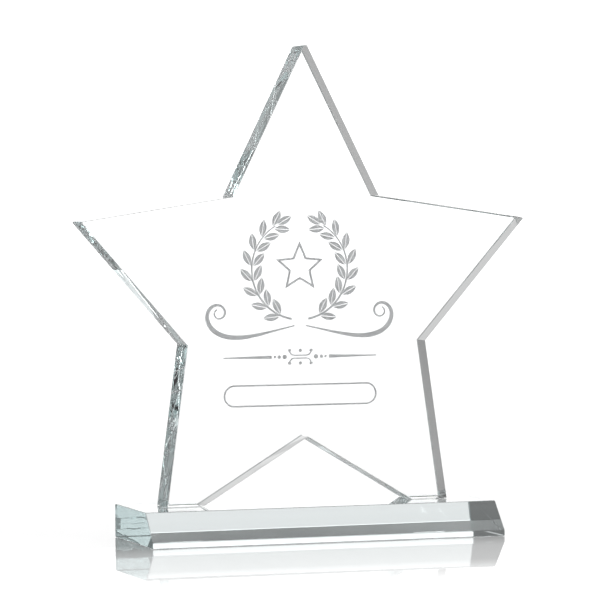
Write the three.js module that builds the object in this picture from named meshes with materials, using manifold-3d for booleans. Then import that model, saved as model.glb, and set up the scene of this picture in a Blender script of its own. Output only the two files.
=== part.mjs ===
// A star trophy: a thick clear glass star glued upright on a glass base whose front edge is bevelled.
// Millimetres. +X is to the viewer's right, +Y to the back, +Z up; the origin is the middle of the
// base's underside. The star's two feet are bonded to the base by thin layers of clear adhesive.
import * as THREE from "three";
import { mergeVertices } from "three/addons/utils/BufferGeometryUtils.js";
import Module from "manifold-3d";

const wasm = await Module();
wasm.setup();

// Base plate.
const baseWidth = 180.4;
const baseDepth = 68.8;
const baseHeight = 16.5;
const bevelSetback = 13.2; // how far the front bevel reaches in over the top
const frontLip = 2.8; // upright strip of glass left below the bevel

// Star plate. Heights are above the feet, half widths are from the middle of the star.
const plateThickness = 19.05; // three-quarter inch sheet
const starSetback = 10.1; // the star's mid-plane stands this far behind the middle of the base
const apexHeight = 227.6; // where the apex edges would meet
const neckHalfWidth = 37.8;
const neckHeight = 151.6;
const armHalfWidth = 115.1;
const armHeight = 140;
const waistHalfWidth = 61.8;
const waistHeight = 79.1;
const footOuterHalfWidth = 72.7;
const footInnerHalfWidth = 54.1;
const crotchHeight = 32.6;

// Finishing.
const arris = 0.3; // small chamfer ground along every glass edge
const apexBlunting = 1.7; // ground off the apex, measured along its edges
const armBlunting = 0.8;
const bondThickness = 0.2; // cured adhesive under each foot
const bondInset = 1;

// Engraving, cut into the back face and read through the glass. Heights are above the table, and
// angles are in degrees, counted from +X towards +Z.
const engravingDepth = 0.5;
const cutterOverrun = 1; // the cutters stand this far out of the face
const strokeSteps = 16;
const wreath = { height: 132, radius: 25, start: -80, end: 60, pairs: 8, outerSpread: 28, innerSpread: 40 };
const firstLeaf = 0.7; // how far up the stem the first pair of leaves stands, in steps between pairs
const leaf = { length: 8.5, halfWidth: 1.9, standOff: 1.3, steps: 4 };
const stem = { thin: 0.3, thick: 0.55 };
const littleStar = { height: 133, outer: 13, inner: 6, line: 1.3 };
const volute = { x: 3, height: 104, heading: -13, length: 77, endRadius: 2.1, thin: 0.35, thick: 1.2 };
const voluteSteps = 40;
const voluteTightening = 3; // its curvature grows with this power of the way along it
const voluteCrowding = 0.55; // under 1, its points crowd towards the curl
const divider = { height: 88.5, barFrom: 15, barTo: 40, thin: 0.25, thick: 0.85 };
const beads = [
  { x: 13.2, radius: 0.6 },
  { x: 11, radius: 0.85 },
  { x: 8.2, radius: 1.1 },
];
const bracket = { halfWidth: 5.6, gap: 0.75, curl: 2.4, steps: 5, line: 0.3, ball: 0.8 };
const cartouche = { height: 69.5, halfWidth: 40, halfHeight: 5.5, line: 0.8 };

const up = 90;
const mergeTolerance = 1e-4;
const discSegments = 8;

const footLevel = baseHeight + bondThickness;
const starBack = starSetback + plateThickness / 2;
const upright = Math.PI / 2; // turns a drawn outline to stand with its height along +Z

const vec = (x, y) => new THREE.Vector2(x, y);
const mirrored = (points) => points.map((p) => vec(-p.x, p.y)).reverse();

// ---- solids ----

function solid(geometry) {
  const bare = geometry.index ? geometry.toNonIndexed() : geometry.clone();
  bare.deleteAttribute("normal");
  bare.deleteAttribute("uv");
  const merged = mergeVertices(bare, mergeTolerance);
  const mesh = new wasm.Mesh({
    numProp: 3,
    vertProperties: merged.attributes.position.array,
    triVerts: new Uint32Array(merged.index.array),
  });
  return new wasm.Manifold(mesh);
}

function geometryOf(manifold) {
  const mesh = manifold.getMesh();
  const geometry = new THREE.BufferGeometry();
  geometry.setAttribute("position", new THREE.BufferAttribute(mesh.vertProperties, 3));
  geometry.setIndex(new THREE.BufferAttribute(mesh.triVerts, 1));
  const flat = geometry.toNonIndexed();
  flat.computeVertexNormals();
  return flat;
}

// A slab of the outline, its two faces `thickness` apart from z = 0, with an arris round both faces.
function arrisedSlab(outline, thickness) {
  const geometry = new THREE.ExtrudeGeometry(new THREE.Shape(outline), {
    depth: thickness - 2 * arris,
    bevelThickness: arris,
    bevelSize: arris,
    bevelOffset: -arris,
    bevelSegments: 1,
  });
  return geometry.translate(0, 0, arris);
}

// Cuts a corner off an outline: two points on its neighbouring edges, `cut` away from the corner.
function cutCorner(before, corner, after, cut) {
  const back = before.clone().sub(corner).setLength(cut);
  const on = after.clone().sub(corner).setLength(cut);
  return [corner.clone().add(back), corner.clone().add(on)];
}

// ---- star plate ----

function starOutline() {
  const apex = vec(0, apexHeight + footLevel);
  const neck = vec(neckHalfWidth, neckHeight + footLevel);
  const arm = vec(armHalfWidth, armHeight + footLevel);
  const waist = vec(waistHalfWidth, waistHeight + footLevel);
  const footOuter = vec(footOuterHalfWidth, footLevel);
  const footInner = vec(footInnerHalfWidth, footLevel);
  const crotch = vec(0, crotchHeight + footLevel);
  const otherNeck = vec(-neck.x, neck.y);
  const apexCut = cutCorner(neck, apex, otherNeck, apexBlunting)[0];
  const armCut = cutCorner(waist, arm, neck, armBlunting);
  const rightSide = [footInner, footOuter, waist, ...armCut, neck, apexCut];
  return [crotch, ...rightSide, ...mirrored(rightSide)];
}

// ---- engraving ----

// An outline that swells and tapers along a run of points, as a pen stroke does.
function stroke(points, halfWidthAt) {
  const left = [];
  const right = [];
  points.forEach((point, i) => {
    const ahead = points[Math.min(i + 1, points.length - 1)];
    const behind = points[Math.max(i - 1, 0)];
    const across = ahead.clone().sub(behind).rotateAround(vec(0, 0), Math.PI / 2);
    across.setLength(halfWidthAt(i / (points.length - 1)));
    left.push(point.clone().add(across));
    right.push(point.clone().sub(across));
  });
  return new THREE.Shape([...right, ...left.reverse()]);
}

function disc(x, y, radius) {
  return new THREE.Shape().absarc(x, y, radius, 0, 2 * Math.PI);
}

function onCircle(x, y, radius, degrees) {
  const angle = THREE.MathUtils.degToRad(degrees);
  return vec(x + radius * Math.cos(angle), y + radius * Math.sin(angle));
}

// A pointed leaf that lies at the angle given, a little way off the point that it grows from.
function leafShape(root, degrees) {
  const start = vec(leaf.standOff, 0);
  const tip = vec(leaf.standOff + leaf.length, 0);
  const belly = vec((start.x + tip.x) / 2, 2 * leaf.halfWidth);
  const half = new THREE.QuadraticBezierCurve(start, belly, tip);
  const upper = half.getPoints(leaf.steps);
  const lower = upper.slice(1, -1).map((p) => vec(p.x, -p.y));
  const outline = [...lower, ...upper.reverse()];
  const angle = THREE.MathUtils.degToRad(degrees);
  return new THREE.Shape(outline.map((p) => p.rotateAround(vec(0, 0), angle).add(root)));
}

// The right-hand laurel branch: a stem along an arc, pairs of leaves, and one leaf at its end.
function laurelShapes() {
  const { height, radius, start, end, pairs, outerSpread, innerSpread } = wreath;
  const at = (part) => start + (end - start) * part;
  const stemPoints = [];
  for (let i = 0; i <= strokeSteps; i++) stemPoints.push(onCircle(0, height, radius, at(i / strokeSteps)));
  const shapes = [stroke(stemPoints, (part) => stem.thick + (stem.thin - stem.thick) * part)];
  for (let i = 0; i < pairs; i++) {
    const along = at((i + firstLeaf) / pairs);
    const root = onCircle(0, height, radius, along);
    const onward = along + 90;
    shapes.push(leafShape(root, onward - outerSpread), leafShape(root, onward + innerSpread));
  }
  shapes.push(leafShape(onCircle(0, height, radius, end), end + 90));
  return shapes;
}

function regularStar(radius, ratio, height) {
  const corners = 10;
  const points = [];
  for (let i = 0; i < corners; i++) {
    const reach = i % 2 ? radius * ratio : radius;
    points.push(onCircle(0, height, reach, up + (360 / corners) * i));
  }
  return points;
}

// A plain five-pointed star drawn as a line of even width.
function littleStarShape() {
  const ratio = littleStar.inner / littleStar.outer;
  const shape = new THREE.Shape(regularStar(littleStar.outer, ratio, littleStar.height));
  const inside = regularStar(littleStar.outer - 2 * littleStar.line, ratio, littleStar.height);
  shape.holes.push(new THREE.Path(inside));
  return shape;
}

// How far along the flourish its points lie: long steps where it is nearly straight, short in the curl.
function volutePart(i) {
  return (i / voluteSteps) ** voluteCrowding;
}

// A pen flourish that leaves the foot of the wreath and winds up tighter and tighter.
function voluteShape() {
  const points = [];
  const place = vec(volute.x, volute.height);
  let heading = THREE.MathUtils.degToRad(volute.heading);
  for (let i = 0; i <= voluteSteps; i++) {
    points.push(place.clone());
    const from = volutePart(i);
    const to = volutePart(i + 1);
    const step = (to - from) * volute.length;
    heading += (step * ((from + to) / 2) ** voluteTightening) / volute.endRadius;
    place.add(vec(step * Math.cos(heading), step * Math.sin(heading)));
  }
  const swell = volute.thick - volute.thin;
  const halfWidthAt = (part) => {
    const along = volutePart(part * voluteSteps);
    return volute.thin + swell * Math.sin(Math.PI * along) ** 2;
  };
  return stroke(points, halfWidthAt);
}

// The right half of the divider: a tapered bar and the beads that lead from it to the middle.
function dividerShapes() {
  const { height, barFrom, barTo, thin, thick } = divider;
  const bar = stroke([vec(barFrom, height), vec(barTo, height)], (part) => thick + (thin - thick) * part);
  return [bar, ...beads.map((bead) => disc(bead.x, height, bead.radius))];
}

// A bracket that lies flat over the middle of the divider and curls up at both ends.
function bracketPoints() {
  const { halfWidth, gap, curl, steps } = bracket;
  const points = [];
  for (const side of [-1, 1]) {
    for (let i = 0; i <= steps; i++) {
      const turn = side < 0 ? 180 + (90 * i) / steps : 270 + (90 * i) / steps;
      points.push(onCircle(side * (halfWidth - curl), gap + curl, curl, turn));
    }
  }
  return points;
}

// The ornament in the middle: two brackets back to back, balls on their ends, a bead above and below.
function ornamentShapes() {
  const shapes = [];
  const { halfWidth, gap, curl, line, ball } = bracket;
  for (const side of [-1, 1]) {
    const points = bracketPoints().map((p) => vec(side * p.x, divider.height + side * p.y));
    shapes.push(stroke(points, () => line));
    const ballHeight = divider.height + side * (gap + curl);
    for (const x of [-halfWidth, 0, halfWidth]) shapes.push(disc(x, ballHeight, ball));
  }
  return shapes;
}

function roundEndedOutline(halfWidth, halfHeight, height) {
  const shape = new THREE.Shape();
  shape.absarc(halfWidth - halfHeight, height, halfHeight, -Math.PI / 2, Math.PI / 2);
  shape.absarc(halfHeight - halfWidth, height, halfHeight, Math.PI / 2, 1.5 * Math.PI);
  return shape;
}

// A blank name panel: an empty frame with round ends.
function cartoucheShape() {
  const { halfWidth, halfHeight, height, line } = cartouche;
  const frame = roundEndedOutline(halfWidth, halfHeight, height);
  frame.holes.push(roundEndedOutline(halfWidth - line, halfHeight - line, height));
  return frame;
}

function cutter(shape) {
  const geometry = new THREE.ExtrudeGeometry(shape, {
    depth: engravingDepth + cutterOverrun,
    bevelEnabled: false,
    curveSegments: discSegments,
  });
  return solid(geometry.translate(0, 0, -cutterOverrun));
}

function engravingCutter() {
  const rightHand = [...laurelShapes(), voluteShape(), ...dividerShapes()].map(cutter);
  const leftHand = rightHand.map((piece) => piece.mirror([1, 0, 0]));
  const middle = [littleStarShape(), ...ornamentShapes(), cartoucheShape()].map(cutter);
  return wasm.Manifold.union([...rightHand, ...leftHand, ...middle]);
}

function starPlate() {
  const plate = solid(arrisedSlab(starOutline(), plateThickness));
  const glass = new THREE.MeshStandardMaterial({ color: 0xe6f2ef, roughness: 0.03, metalness: 0 });
  const mesh = new THREE.Mesh(geometryOf(plate.subtract(engravingCutter())), glass);
  mesh.name = "star_plate";
  mesh.rotation.x = upright;
  mesh.position.y = starBack;
  return mesh;
}

// ---- base plate ----

// The base's end-on profile, drawn with the depth to the left and the height upwards.
function baseProfile() {
  const back = baseDepth / 2;
  const corners = [
    vec(-back, 0),
    vec(back, 0),
    vec(back, baseHeight),
    vec(bevelSetback - back, baseHeight),
    vec(-back, frontLip),
  ];
  return corners.flatMap((corner, i) => {
    const before = corners.at(i - 1);
    const after = corners[(i + 1) % corners.length];
    return cutCorner(before, corner, after, arris);
  });
}

function basePlate() {
  const glass = new THREE.MeshStandardMaterial({ color: 0xdcefeb, roughness: 0.03, metalness: 0 });
  const mesh = new THREE.Mesh(arrisedSlab(baseProfile(), baseWidth), glass);
  mesh.name = "base_plate";
  // The profile's first axis turns to +Y, its second to +Z, and the slab runs along +X.
  mesh.setRotationFromMatrix(new THREE.Matrix4().set(0, 0, 1, 0, 1, 0, 0, 0, 0, 1, 0, 0, 0, 0, 0, 1));
  mesh.position.x = -baseWidth / 2;
  return mesh;
}

// ---- adhesive ----

function footBond(name, side) {
  const width = footOuterHalfWidth - footInnerHalfWidth - 2 * bondInset;
  const depth = plateThickness - 2 * bondInset;
  const adhesive = new THREE.MeshStandardMaterial({ color: 0xf4f8f6, roughness: 0.15, metalness: 0 });
  const mesh = new THREE.Mesh(new THREE.BoxGeometry(width, depth, bondThickness), adhesive);
  mesh.name = name;
  const middle = (footOuterHalfWidth + footInnerHalfWidth) / 2;
  mesh.position.set(side * middle, starSetback, baseHeight + bondThickness / 2);
  return mesh;
}

const trophy = new THREE.Group();
trophy.add(starPlate(), basePlate(), footBond("left_foot_bond", -1), footBond("right_foot_bond", 1));

export default trophy;
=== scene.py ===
"""The star trophy's looks: a clear glass star with a sand-etched back, glued on a bevelled glass base.

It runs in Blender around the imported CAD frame. Metres, +X to the viewer's right, +Y to the back, +Z up.
"""

import math

import bmesh
import bpy
from mathutils import Euler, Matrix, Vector

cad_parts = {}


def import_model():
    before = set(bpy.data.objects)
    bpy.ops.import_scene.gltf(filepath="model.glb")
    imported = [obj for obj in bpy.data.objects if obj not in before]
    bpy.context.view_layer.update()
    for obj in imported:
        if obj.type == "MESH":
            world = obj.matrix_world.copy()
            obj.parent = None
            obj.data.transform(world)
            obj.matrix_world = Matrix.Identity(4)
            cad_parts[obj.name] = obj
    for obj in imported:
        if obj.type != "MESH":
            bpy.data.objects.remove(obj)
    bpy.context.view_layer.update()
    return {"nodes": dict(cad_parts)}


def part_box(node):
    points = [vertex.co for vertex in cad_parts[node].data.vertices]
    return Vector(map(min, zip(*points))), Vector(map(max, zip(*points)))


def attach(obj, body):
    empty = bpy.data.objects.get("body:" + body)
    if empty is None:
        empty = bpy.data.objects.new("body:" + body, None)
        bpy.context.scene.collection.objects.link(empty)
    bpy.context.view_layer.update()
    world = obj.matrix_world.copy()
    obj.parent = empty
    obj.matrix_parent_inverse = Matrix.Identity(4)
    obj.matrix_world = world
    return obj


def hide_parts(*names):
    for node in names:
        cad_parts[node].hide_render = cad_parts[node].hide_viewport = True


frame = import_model()

MM = 0.001
SAME = 1e-5  # points closer than this are the same point

STAR = "star_plate"
BASE = "base_plate"
BONDS = {"left_foot_adhesive": "left_foot_bond", "right_foot_adhesive": "right_foot_bond"}
OPTICAL_CONTACT = 0.05 * MM  # light crosses from glass to adhesive only where the two overlap


# ---- outlines read from the frame ----


def levels(node, axis):
    """The different heights, along one axis, at which a CAD node has vertices."""
    found = []
    for value in sorted(v.co[axis] for v in frame["nodes"][node].data.vertices):
        if not found or value - found[-1] > SAME:
            found.append(value)
    return found


def ring(node, axis, level):
    """The outline of a CAD node at a level along an axis, in order round its middle."""
    points = []
    for vertex in frame["nodes"][node].data.vertices:
        if abs(vertex.co[axis] - level) > SAME:
            continue
        point = Vector([vertex.co[k] for k in range(3) if k != axis])
        if all((point - other).length > SAME for other in points):
            points.append(point)
    low = Vector([min(p[k] for p in points) for k in range(2)])
    high = Vector([max(p[k] for p in points) for k in range(2)])
    middle = (low + high) / 2
    return sorted(points, key=lambda p: math.atan2(p.y - middle.y, p.x - middle.x))


def inset(outline, distance):
    """The outline moved inwards by a distance, with its corners kept sharp."""
    moved = []
    for i, corner in enumerate(outline):
        into = (corner - outline[i - 1]).normalized()
        away = (outline[(i + 1) % len(outline)] - corner).normalized()
        normals = [Vector((-into.y, into.x)), Vector((-away.y, away.x))]
        bisector = (normals[0] + normals[1]).normalized()
        moved.append(corner + bisector * (distance / bisector.dot(normals[0])))
    return moved


star_levels = levels(STAR, 1)
base_levels = levels(BASE, 0)
STAR_FRONT = star_levels[0]
STAR_BACK = star_levels[-1]
ARRIS = star_levels[1] - star_levels[0]
STAR_OUTLINE = ring(STAR, 1, star_levels[1])
BASE_PROFILE = ring(BASE, 0, base_levels[1])
BASE_LOW, BASE_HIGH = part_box(BASE)


# ---- engraving, drawn in millimetres as (across, height) on the back of the star ----

ENGRAVING_DEPTH = 0.5 * MM
CUTTER_OVERRUN = 1 * MM
WREATH = {"height": 132, "radius": 25, "start": -80, "end": 60, "pairs": 8}
FIRST_PAIR = 0.7  # the first pair of leaves stands this part of a pair's spacing up the stem
LEAF = {"length": 8.5, "half_width": 1.9, "stand_off": 1.3, "vein": 0.16, "outer": 28, "inner": 40}
STEM = {"thick": 0.55, "thin": 0.3}
LITTLE_STAR = {"height": 133, "outer": 13, "inner": 6, "line": 1.3, "points": 5}
VOLUTE = {"x": 3, "height": 104, "heading": -13, "length": 77}
VOLUTE_PEN = {"thin": 0.35, "thick": 1.2}
VOLUTE_END_RADIUS = 2.1
VOLUTE_TIGHTENING = 3  # the power of the way along with which the bend grows
DIVIDER = {"height": 88.5, "bar_from": 15, "bar_to": 40, "thin": 0.25, "thick": 0.85}
BEADS = ((13.2, 0.6), (11, 0.85), (8.2, 1.1))  # distance from the middle, and radius
BRACKET = {"half_width": 5.6, "gap": 0.75, "curl": 2.4, "line": 0.3, "ball": 0.8}
CARTOUCHE = {"height": 69.5, "half_width": 40, "half_height": 5.5, "line": 0.8}
SHORTEST_EDGE = 0.01  # an outline's point that is closer than this to the one before is left out
ARC_STEPS = 24
STROKE_STEPS = 48
VOLUTE_STEPS = 120
LEAF_STEPS = 12


def on_circle(x, y, radius, degrees):
    angle = math.radians(degrees)
    return Vector((x + radius * math.cos(angle), y + radius * math.sin(angle)))


def turned(point, degrees):
    """A point turned round the origin."""
    angle = math.radians(degrees)
    along, across = math.cos(angle), math.sin(angle)
    return Vector((point.x * along - point.y * across, point.x * across + point.y * along))


def disc(x, y, radius):
    return [on_circle(x, y, radius, 360 * i / ARC_STEPS) for i in range(ARC_STEPS)]


def stroke(points, half_width_at):
    """An outline that swells and tapers along a run of points, as a pen stroke does."""
    left, right = [], []
    last = len(points) - 1
    for i, point in enumerate(points):
        along = (points[min(i + 1, last)] - points[max(i - 1, 0)]).normalized()
        across = Vector((-along.y, along.x)) * half_width_at(i / last)
        left.append(point + across)
        right.append(point - across)
    return right + left[::-1]


def half_leaf(root, degrees, side):
    """One half of a pointed leaf, beside its clear vein."""
    start, length = LEAF["stand_off"], LEAF["length"]
    outline = []
    for i in range(LEAF_STEPS + 1):
        t = i / LEAF_STEPS
        belly = 4 * LEAF["half_width"] * t * (1 - t)
        outline.append(Vector((start + length * t, side * max(belly, LEAF["vein"]))))
    outline.append(Vector((start + length, side * LEAF["vein"])))
    outline.append(Vector((start, side * LEAF["vein"])))
    kept = [p for i, p in enumerate(outline) if (p - outline[i - 1]).length > SHORTEST_EDGE]
    return [turned(p, degrees) + root for p in kept]


def leaf(root, degrees):
    return [half_leaf(root, degrees, side) for side in (-1, 1)]


def laurel():
    """The right-hand branch: a stem along an arc, pairs of leaves, and one leaf at its end."""
    start, span = WREATH["start"], WREATH["end"] - WREATH["start"]
    stem = [on_circle(0, WREATH["height"], WREATH["radius"], start + span * i / STROKE_STEPS)
            for i in range(STROKE_STEPS + 1)]
    shapes = [stroke(stem, lambda part: STEM["thick"] + (STEM["thin"] - STEM["thick"]) * part)]
    for i in range(WREATH["pairs"]):
        angle = start + span * (i + FIRST_PAIR) / WREATH["pairs"]
        root = on_circle(0, WREATH["height"], WREATH["radius"], angle)
        shapes += leaf(root, angle + 90 - LEAF["outer"])
        shapes += leaf(root, angle + 90 + LEAF["inner"])
    shapes += leaf(stem[-1], WREATH["end"] + 90)
    return shapes


def volute():
    """A pen flourish that leaves the foot of the wreath and winds up tighter and tighter."""
    place = Vector((VOLUTE["x"], VOLUTE["height"]))
    heading = math.radians(VOLUTE["heading"])
    step = VOLUTE["length"] / VOLUTE_STEPS
    points = []
    for i in range(VOLUTE_STEPS + 1):
        points.append(place.copy())
        part = (i + 0.5) / VOLUTE_STEPS
        heading += step * part ** VOLUTE_TIGHTENING / VOLUTE_END_RADIUS
        place += step * Vector((math.cos(heading), math.sin(heading)))
    swell = VOLUTE_PEN["thick"] - VOLUTE_PEN["thin"]
    return stroke(points, lambda part: VOLUTE_PEN["thin"] + swell * math.sin(math.pi * part) ** 2)


def divider_side():
    """A tapered bar and the beads that lead from it to the middle."""
    height = DIVIDER["height"]
    ends = [Vector((DIVIDER["bar_from"], height)), Vector((DIVIDER["bar_to"], height))]
    bar = stroke(ends, lambda part: DIVIDER["thick"] + (DIVIDER["thin"] - DIVIDER["thick"]) * part)
    return [bar] + [disc(x, height, radius) for x, radius in BEADS]


def bracket():
    """A line that lies flat over the middle of the divider and curls up at both ends."""
    curl = BRACKET["curl"]
    reach = BRACKET["half_width"] - curl
    left = [on_circle(-reach, BRACKET["gap"] + curl, curl, 180 + 90 * i / ARC_STEPS)
            for i in range(ARC_STEPS + 1)]
    right = [Vector((-p.x, p.y)) for p in left[::-1]]
    return stroke(left + right, lambda part: BRACKET["line"])


def ornament():
    """Two brackets back to back, each with a ball on both ends and one over its middle."""
    shapes = []
    ball_rise = BRACKET["gap"] + BRACKET["curl"]
    for side in (-1, 1):
        shapes.append([Vector((side * p.x, DIVIDER["height"] + side * p.y)) for p in bracket()])
        for x in (-BRACKET["half_width"], 0, BRACKET["half_width"]):
            shapes.append(disc(x, DIVIDER["height"] + side * ball_rise, BRACKET["ball"]))
    return shapes


def regular_star(radius):
    """The little star inside the wreath, point up, out to a radius."""
    radii = (radius, radius * LITTLE_STAR["inner"] / LITTLE_STAR["outer"])
    corners = 2 * LITTLE_STAR["points"]
    return [on_circle(0, LITTLE_STAR["height"], radii[i % 2], 90 + 360 * i / corners)
            for i in range(corners)]


def round_ended(shrink):
    """The outline of a panel with half-round ends."""
    radius = CARTOUCHE["half_height"] - shrink
    reach = CARTOUCHE["half_width"] - CARTOUCHE["half_height"]
    right = [on_circle(reach, CARTOUCHE["height"], radius, -90 + 180 * i / ARC_STEPS)
             for i in range(ARC_STEPS + 1)]
    left = [on_circle(-reach, CARTOUCHE["height"], radius, 90 + 180 * i / ARC_STEPS)
            for i in range(ARC_STEPS + 1)]
    return right + left


def filled_shapes():
    """Every engraved shape without a hole: the right-hand ones, their mirror images, the ornament."""
    right_hand = laurel() + [volute()] + divider_side()
    left_hand = [[Vector((-p.x, p.y)) for p in shape] for shape in right_hand]
    return right_hand + left_hand + ornament()


def framed_shapes():
    """Shapes with a hole: pairs of an outer and an inner outline with as many points."""
    star_line = 2 * LITTLE_STAR["line"]
    star = (regular_star(LITTLE_STAR["outer"]), regular_star(LITTLE_STAR["outer"] - star_line))
    return [star, (round_ended(0), round_ended(CARTOUCHE["line"]))]


# ---- meshes ----


def new_piece(name, mesh_builder, material):
    """An object of one material, whose mesh the builder makes."""
    mesh = bpy.data.meshes.new(name)
    bm = bmesh.new()
    mesh_builder(bm)
    bmesh.ops.recalc_face_normals(bm, faces=bm.faces)
    bm.to_mesh(mesh)
    bm.free()
    mesh.materials.append(material)
    piece = bpy.data.objects.new(name, mesh)
    bpy.context.scene.collection.objects.link(piece)
    return piece


def bridge(bm, lower, upper):
    """A band of faces between two rings with as many vertices."""
    for i, vertex in enumerate(lower):
        bm.faces.new((lower[i - 1], vertex, upper[i], upper[i - 1]))


def skin(bm, sections):
    """A closed body through a row of rings, each a list of points, with flat ends."""
    rings = [[bm.verts.new(p) for p in section] for section in sections]
    for lower, upper in zip(rings, rings[1:]):
        bridge(bm, lower, upper)
    bm.faces.new(rings[0][::-1])
    bm.faces.new(rings[-1])


def star_body(bm):
    """The star plate: two polished faces, upright polished edges and an arris between them."""
    face = inset(STAR_OUTLINE, ARRIS)
    depths = ((STAR_FRONT, face), (STAR_FRONT + ARRIS, STAR_OUTLINE),
              (STAR_BACK - ARRIS, STAR_OUTLINE), (STAR_BACK, face))
    skin(bm, [[Vector((p.x, depth, p.y)) for p in outline] for depth, outline in depths])


def base_body(bm):
    """The base plate: its end-on profile, with an arris at both ends."""
    end = inset(BASE_PROFILE, ARRIS)
    spans = ((BASE_LOW.x, end), (BASE_LOW.x + ARRIS, BASE_PROFILE),
             (BASE_HIGH.x - ARRIS, BASE_PROFILE), (BASE_HIGH.x, end))
    skin(bm, [[Vector((x, p.x, p.y)) for p in outline] for x, outline in spans])


def bond_body(bm, node):
    """A film of adhesive with a hollow rim, reaching a hair into the glass on both sides of it."""
    low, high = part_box(node)
    footprint = ring(node, 2, low.z)
    waist = inset(footprint, (high.z - low.z) / 2)
    heights = ((low.z - OPTICAL_CONTACT, footprint), (low.z, footprint), ((low.z + high.z) / 2, waist),
               (high.z, footprint), (high.z + OPTICAL_CONTACT, footprint))
    skin(bm, [[Vector((p.x, p.y, height)) for p in outline] for height, outline in heights])


def prism(bm, outline):
    """The cutter for one filled shape."""
    near, far = STAR_BACK + CUTTER_OVERRUN, STAR_BACK - ENGRAVING_DEPTH
    skin(bm, [[Vector((p.x * MM, depth, p.y * MM)) for p in outline] for depth in (near, far)])


def framed_prism(bm, outer, inner):
    """The cutter for one framed shape: a tube between its two outlines."""
    near, far = STAR_BACK + CUTTER_OVERRUN, STAR_BACK - ENGRAVING_DEPTH
    corners = [(outer, near), (outer, far), (inner, far), (inner, near)]
    rings = [[bm.verts.new((p.x * MM, depth, p.y * MM)) for p in outline] for outline, depth in corners]
    for k in range(4):
        bridge(bm, rings[k - 1], rings[k])


def cutter_body(bm):
    """All of the engraving, to be cut out of the star in one go."""
    for outline in filled_shapes():
        prism(bm, outline)
    for outer, inner in framed_shapes():
        framed_prism(bm, outer, inner)


def cut(piece, cutter):
    """Cuts one piece by another; the faces that the cut makes keep the cutter's material."""
    modifier = piece.modifiers.new("engraving", "BOOLEAN")
    modifier.operation = "DIFFERENCE"
    modifier.solver = "EXACT"
    modifier.use_self = True
    modifier.material_mode = "TRANSFER"
    modifier.object = cutter
    bpy.context.view_layer.update()
    evaluated = piece.evaluated_get(bpy.context.evaluated_depsgraph_get())
    mesh = bpy.data.meshes.new_from_object(evaluated)
    piece.modifiers.clear()
    piece.data = mesh
    bpy.data.objects.remove(cutter)


# ---- materials ----

GLASS_IOR = 1.52

# Glass is tinted along long paths. Its float faces look along one axis; its other faces are ground and
# polished by hand, which leaves them with a slight swell and, in patches, with slanting flats.
STAR_GLASS = {"tint": (0.15, 0.84, 0.85), "density": 0.6, "float_axis": "Y"}
STAR_RELIEF = {"swell": 0.003 * MM, "flat": 0.15 * MM}
BASE_GLASS = {"tint": (0.15, 0.45, 0.46), "density": 2.7, "float_axis": "Z"}
BASE_RELIEF = {"swell": 0.01 * MM, "flat": 0.02 * MM}

# The adhesive is as clear as the glass, and bends light as much; only its rim is uneven.
ADHESIVE = {"tint": (0.9, 0.9, 0.9), "density": 1, "float_axis": "Z"}
ADHESIVE_RELIEF = {"swell": 0.02 * MM, "flat": 0}

GROUND = 0.3  # a face that looks less than this along the float axis is a ground one,
FLOAT = 0.9  # and one that looks more than this along it is a float face
SWELLS_PER_METRE = 28
SMEARS_PER_METRE = 400
SMEAR_LIMITS = (0.4, 0.7)  # polishing smears go from none to full between these levels of a noise
EDGE_ROUGHNESS = 0.005

FLATS_SCALE = 18  # puts a crease across an upright edge about every 17 mm
FLATS_BEND = 2
FLATS_BEND_SCALE = 0.15
PATCHES_PER_METRE = 18
PATCH_LIMITS = (0.4, 0.6)  # the flats come up between these levels of the noise that makes the patches

PITS_PER_METRE = 2500
PIT_DEPTH = 0.05 * MM
PIT_STRENGTH = 0.6
PIT_GRAIN = 0.7  # how much of the pits' pattern is in its finer layers
CLOUDS_PER_METRE = 90
FROST_DARK = (0.8, 0.8, 0.81, 1)
FROST_PALE = (0.9, 0.9, 0.91, 1)
FROST_LIMITS = (0.3, 0.7)  # nearly all of a noise lies between these levels
FROST_ROUGHNESS = (0.65, 0.95)


def new_material(name):
    made = bpy.data.materials.new(name)
    made.use_nodes = True
    made.node_tree.nodes.clear()
    return made, made.node_tree


def node(tree, kind, **settings):
    made = tree.nodes.new(kind)
    for key, value in settings.items():
        setattr(made, key, value)
    return made


def link(tree, source, target):
    tree.links.new(source, target)


def on_object(tree):
    """Places on the object, in metres."""
    return node(tree, "ShaderNodeTexCoord").outputs["Object"]


def noise(tree, place, scale, detail, roughness=0.5):
    made = node(tree, "ShaderNodeTexNoise")
    made.inputs["Scale"].default_value = scale
    made.inputs["Detail"].default_value = detail
    made.inputs["Roughness"].default_value = roughness
    link(tree, place, made.inputs["Vector"])
    return made.outputs["Fac"]


def remap(tree, value, low, high, to_low, to_high):
    """A value carried from one range to another, and held at its ends."""
    made = node(tree, "ShaderNodeMapRange")
    for name, number in zip(("From Min", "From Max", "To Min", "To Max"), (low, high, to_low, to_high)):
        made.inputs[name].default_value = number
    link(tree, value, made.inputs["Value"])
    return made.outputs["Result"]


def combine(tree, operation, first, second):
    """The sum or product of two values."""
    made = node(tree, "ShaderNodeMath", operation=operation)
    link(tree, first, made.inputs[0])
    link(tree, second, made.inputs[1])
    return made.outputs[0]


def facing(tree, axis):
    """How squarely a surface faces along an axis, from 0 to 1."""
    geometry = node(tree, "ShaderNodeNewGeometry")
    split = node(tree, "ShaderNodeSeparateXYZ")
    size = node(tree, "ShaderNodeMath", operation="ABSOLUTE")
    link(tree, geometry.outputs["True Normal"], split.inputs["Vector"])
    link(tree, split.outputs[axis], size.inputs[0])
    return size.outputs[0]


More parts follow.
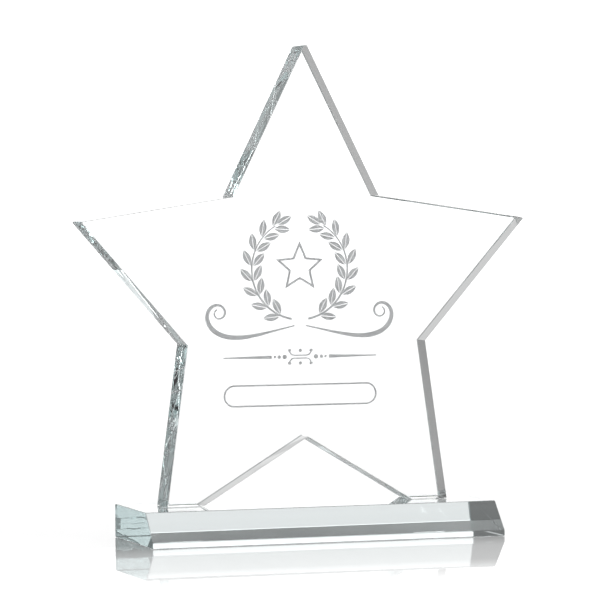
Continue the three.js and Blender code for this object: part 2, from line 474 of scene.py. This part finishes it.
def flats(tree, place):
    """The slanting flats that a grinding belt leaves along an edge, with a crease between each two."""
    made = node(tree, "ShaderNodeTexWave")
    made.wave_type = "BANDS"
    made.bands_direction = "DIAGONAL"
    made.wave_profile = "TRI"
    made.inputs["Scale"].default_value = FLATS_SCALE
    made.inputs["Distortion"].default_value = FLATS_BEND
    made.inputs["Detail"].default_value = 0
    made.inputs["Detail Scale"].default_value = FLATS_BEND_SCALE
    link(tree, place, made.inputs["Vector"])
    here = remap(tree, noise(tree, place, PATCHES_PER_METRE, detail=0), *PATCH_LIMITS, 0, 1)
    return combine(tree, "MULTIPLY", made.outputs["Fac"], here)


def polished_relief(tree, place, swell, flat):
    """The height, in metres, of what hand polishing leaves on a ground face."""
    swells = remap(tree, noise(tree, place, SWELLS_PER_METRE, detail=1), 0, 1, 0, swell)
    creases = remap(tree, flats(tree, place), 0, 1, 0, flat)
    return combine(tree, "ADD", swells, creases)


def bumped(tree, height, strength, distance):
    """The surface's normal, tipped by the slopes of a height that is counted in distances."""
    bump = node(tree, "ShaderNodeBump")
    bump.inputs["Strength"].default_value = strength
    bump.inputs["Distance"].default_value = distance
    link(tree, height, bump.inputs["Height"])
    return bump.outputs["Normal"]


def absorption(tree, tint, density):
    volume = node(tree, "ShaderNodeVolumeAbsorption")
    volume.inputs["Color"].default_value = (*tint, 1)
    volume.inputs["Density"].default_value = density
    return volume.outputs[0]


def glass(name, tint, density, float_axis, swell, flat):
    """Clear glass, whose ground faces are a little uneven."""
    made, tree = new_material(name)
    output = node(tree, "ShaderNodeOutputMaterial")
    surface = node(tree, "ShaderNodeBsdfPrincipled")
    surface.inputs["Base Color"].default_value = (1, 1, 1, 1)
    surface.inputs["Transmission Weight"].default_value = 1
    surface.inputs["IOR"].default_value = GLASS_IOR
    place = on_object(tree)
    ground = remap(tree, facing(tree, float_axis), GROUND, FLOAT, 1, 0)
    relief = combine(tree, "MULTIPLY", polished_relief(tree, place, swell, flat), ground)
    link(tree, bumped(tree, relief, strength=1, distance=1), surface.inputs["Normal"])
    smudges = noise(tree, place, SMEARS_PER_METRE, detail=3)
    smears = remap(tree, smudges, *SMEAR_LIMITS, 0, EDGE_ROUGHNESS)
    link(tree, combine(tree, "MULTIPLY", smears, ground), surface.inputs["Roughness"])
    link(tree, surface.outputs[0], output.inputs["Surface"])
    link(tree, absorption(tree, tint, density), output.inputs["Volume"])
    return made


def etched():
    """Sand-etched glass: a pale grey frost, finely pitted, a little uneven where the blast was weaker."""
    made, tree = new_material("etched_glass")
    output = node(tree, "ShaderNodeOutputMaterial")
    surface = node(tree, "ShaderNodeBsdfPrincipled")
    place = on_object(tree)
    pits = noise(tree, place, PITS_PER_METRE, detail=4, roughness=PIT_GRAIN)
    clouds = noise(tree, place, CLOUDS_PER_METRE, detail=2)
    halves = [remap(tree, pattern, *FROST_LIMITS, 0, 0.5) for pattern in (pits, clouds)]
    tone = node(tree, "ShaderNodeMix", data_type="RGBA")
    tone.inputs["A"].default_value = FROST_DARK
    tone.inputs["B"].default_value = FROST_PALE
    link(tree, combine(tree, "ADD", *halves), tone.inputs["Factor"])
    link(tree, tone.outputs["Result"], surface.inputs["Base Color"])
    link(tree, remap(tree, pits, *FROST_LIMITS, *FROST_ROUGHNESS), surface.inputs["Roughness"])
    link(tree, bumped(tree, pits, PIT_STRENGTH, PIT_DEPTH), surface.inputs["Normal"])
    link(tree, surface.outputs[0], output.inputs["Surface"])
    return made


# ---- the object ----

star_glass = glass("star_glass", **STAR_GLASS, **STAR_RELIEF)
base_glass = glass("base_glass", **BASE_GLASS, **BASE_RELIEF)
adhesive = glass("clear_adhesive", **ADHESIVE, **ADHESIVE_RELIEF)
etched_glass = etched()

star = new_piece("star_glass_plate", star_body, star_glass)
cut(star, new_piece("engraving_cutter", cutter_body, etched_glass))
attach(star, "root")
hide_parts(STAR)

base = new_piece("bevelled_base", base_body, base_glass)
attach(base, "root")
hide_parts(BASE)

for name, bond in BONDS.items():
    film = new_piece(name, lambda bm, bond=bond: bond_body(bm, bond), adhesive)
    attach(film, "root")
    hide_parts(bond)


# ---- studio ----

# The room's brightness goes from the first level to the second between these elevations, in degrees.
ROOM_HEIGHTS = (20, 70)
ROOM_LEVELS = (0.45, 0.25)
# Soft-edged panels round the trophy, later ones over earlier ones, in degrees: azimuth, half-width,
# fade, lowest and highest elevation; and their brightness.
STUDIO_PANELS = (
    (180, 60, 20, 25, 60, 0.7),  # a wide softbox over the photographer
    (-148, 4, 2, 0, 45, 7),  # a strip light at the photographer's left
    (128, 4, 2, 8, 50, 7),  # and another far to the right
    (-36, 18, 10, -90, 75, 0.18),  # a dark screen, back left
    (-8, 5, 6, 16, 24, 0.62),  # a small lighter card beside it
    (24, 13.5, 12, -90, 45, 0.92),  # the white backdrop,
    (24, 13.5, 12, -90, 7, 1.45),  # and its foot, which is lit the most
)
# The white table glows with painted light in front of the trophy, and is left dark under and behind the
# base as painted shade: distances from the base, and the glow there.
PAINTED_TABLE_LIGHT = (
    (-20 * MM, 0),
    (40 * MM, 0.25),
    (100 * MM, 0.3),
    (180 * MM, 0.8),
    (300 * MM, 0.8),
    (600 * MM, 0),
)
PAINTED_LIGHT_SIDES = (350 * MM, 800 * MM)  # it fades away between these distances to either side
AIR_GAP = 0.1 * MM  # glass that lies on a table doesn't touch it optically
TABLE_SIZE = 30
TABLE_WHITE = 0.62
TABLE_ROUGHNESS = 0.02


def window(tree, value, dark, bright):
    """A smooth step of a value: 0 at `dark` and beyond, 1 at `bright` and beyond."""
    made = node(tree, "ShaderNodeMapRange", interpolation_type="SMOOTHSTEP")
    flip = dark > bright
    made.inputs["From Min"].default_value = min(dark, bright)
    made.inputs["From Max"].default_value = max(dark, bright)
    made.inputs["To Min"].default_value = 1 if flip else 0
    made.inputs["To Max"].default_value = 0 if flip else 1
    link(tree, value, made.inputs["Value"])
    return made.outputs["Result"]


def painted_table_light(tree):
    """How brightly each place on the table glows: painted light in front of the base, none under and
    behind it, which is painted shade.
    """
    geometry = node(tree, "ShaderNodeNewGeometry")
    split = node(tree, "ShaderNodeSeparateXYZ")
    link(tree, geometry.outputs["Position"], split.inputs["Vector"])
    first, last = PAINTED_TABLE_LIGHT[0][0], PAINTED_TABLE_LIGHT[-1][0]
    along = remap(tree, split.outputs["Y"], BASE_LOW.y - first, BASE_LOW.y - last, 0, 1)
    ramp = node(tree, "ShaderNodeValToRGB")
    steps = ramp.color_ramp.elements
    while len(steps) < len(PAINTED_TABLE_LIGHT):
        steps.new(0.5)
    for step, (distance, glow) in zip(steps, PAINTED_TABLE_LIGHT):
        step.position = (distance - first) / (last - first)
        step.color = (glow, glow, glow, 1)
    link(tree, along, ramp.inputs["Fac"])
    beside = node(tree, "ShaderNodeMath", operation="ABSOLUTE")
    link(tree, split.outputs["X"], beside.inputs[0])
    narrowed = window(tree, beside.outputs[0], PAINTED_LIGHT_SIDES[1], PAINTED_LIGHT_SIDES[0])
    return combine(tree, "MULTIPLY", ramp.outputs["Color"], narrowed)


def floor():
    """A glossy white table top, a hair below the trophy, that glows with painted light."""
    made, tree = new_material("white_acrylic_painted_light")
    output = node(tree, "ShaderNodeOutputMaterial")
    surface = node(tree, "ShaderNodeBsdfPrincipled")
    surface.inputs["Base Color"].default_value = (TABLE_WHITE, TABLE_WHITE, TABLE_WHITE, 1)
    surface.inputs["Roughness"].default_value = TABLE_ROUGHNESS
    surface.inputs["Emission Color"].default_value = (1, 1, 1, 1)
    # painted light: the table's glow, kept out of the painted shade under and behind the base
    link(tree, painted_table_light(tree), surface.inputs["Emission Strength"])
    link(tree, surface.outputs[0], output.inputs["Surface"])
    bpy.ops.mesh.primitive_plane_add(size=TABLE_SIZE)
    plane = bpy.context.object
    plane.name = "studio_floor"
    plane.location.z = -AIR_GAP
    plane.data.materials.append(made)


def off_azimuth(tree, direction, azimuth):
    """Degrees, round the horizon, between a direction and an azimuth counted from +Y towards +X."""
    angle = math.radians(azimuth)
    flat = node(tree, "ShaderNodeVectorMath", operation="MULTIPLY")
    flat.inputs[1].default_value = (1, 1, 0)
    unit = node(tree, "ShaderNodeVectorMath", operation="NORMALIZE")
    dot = node(tree, "ShaderNodeVectorMath", operation="DOT_PRODUCT")
    dot.inputs[1].default_value = (math.sin(angle), math.cos(angle), 0)
    turn = node(tree, "ShaderNodeMath", operation="ARCCOSINE")
    degrees = node(tree, "ShaderNodeMath", operation="DEGREES")
    link(tree, direction, flat.inputs[0])
    link(tree, flat.outputs["Vector"], unit.inputs[0])
    link(tree, unit.outputs["Vector"], dot.inputs[0])
    link(tree, dot.outputs["Value"], turn.inputs[0])
    link(tree, turn.outputs[0], degrees.inputs[0])
    return degrees.outputs[0]


def elevation(tree, direction):
    """Degrees above the horizon."""
    split = node(tree, "ShaderNodeSeparateXYZ")
    turn = node(tree, "ShaderNodeMath", operation="ARCSINE")
    degrees = node(tree, "ShaderNodeMath", operation="DEGREES")
    link(tree, direction, split.inputs["Vector"])
    link(tree, split.outputs["Z"], turn.inputs[0])
    link(tree, turn.outputs[0], degrees.inputs[0])
    return degrees.outputs[0]


def blend(tree, under, over, mask):
    """A brightness that goes from `under` to the number `over` where the mask is 1."""
    made = node(tree, "ShaderNodeMix", data_type="FLOAT")
    made.inputs["B"].default_value = over
    link(tree, under, made.inputs["A"])
    link(tree, mask, made.inputs["Factor"])
    return made.outputs["Result"]


def world():
    """A grey room, lighter low down, with the studio's panels in it."""
    made = bpy.data.worlds.new("studio")
    made.use_nodes = True
    bpy.context.scene.world = made
    tree = made.node_tree
    background = tree.nodes["Background"]
    background.inputs["Color"].default_value = (1, 1, 1, 1)
    direction = node(tree, "ShaderNodeTexCoord").outputs["Generated"]
    height = elevation(tree, direction)
    level = remap(tree, height, *ROOM_HEIGHTS, *ROOM_LEVELS)
    for azimuth, reach, fade, low, high, brightness in STUDIO_PANELS:
        across = window(tree, off_azimuth(tree, direction, azimuth), reach + fade, reach)
        over_low = window(tree, height, low - fade, low)
        under_high = window(tree, height, high + fade, high)
        upright = combine(tree, "MULTIPLY", over_low, under_high)
        level = blend(tree, level, brightness, combine(tree, "MULTIPLY", across, upright))
    link(tree, level, background.inputs["Strength"])


CAMERA_PLACE = (-0.5682, -1.7249, 0.1719)
CAMERA_TURN = {"yaw": 18.11, "pitch": -1.73, "roll": -0.43}  # degrees: to the right, up, anticlockwise
FOCAL_LENGTH = 220.7
SENSOR_WIDTH = 36


def camera():
    """The photographer's camera, low and a little to the left, with a long lens."""
    data = bpy.data.cameras.new("camera")
    data.lens = FOCAL_LENGTH
    data.sensor_width = SENSOR_WIDTH
    made = bpy.data.objects.new("camera", data)
    bpy.context.scene.collection.objects.link(made)
    made.location = CAMERA_PLACE
    yaw, pitch, roll = [math.radians(CAMERA_TURN[turn]) for turn in ("yaw", "pitch", "roll")]
    look = Euler((math.pi / 2 + pitch, 0, -yaw), "XYZ").to_matrix()
    made.rotation_euler = (look @ Euler((0, 0, roll), "XYZ").to_matrix()).to_euler("XYZ")
    bpy.context.scene.camera = made


GLASS_BOUNCES = 32  # light goes many times round inside the glass
DIFFUSE_BOUNCES = 6
TRANSPARENT_BOUNCES = 16


def light_paths():
    """Colours as they are, and enough bounces for light that is caught in the edges of the glass."""
    scene = bpy.context.scene
    scene.view_settings.view_transform = "Standard"
    scene.cycles.max_bounces = GLASS_BOUNCES
    scene.cycles.diffuse_bounces = DIFFUSE_BOUNCES
    scene.cycles.glossy_bounces = GLASS_BOUNCES
    scene.cycles.transmission_bounces = GLASS_BOUNCES
    scene.cycles.transparent_max_bounces = TRANSPARENT_BOUNCES


floor()
world()
camera()
light_paths()
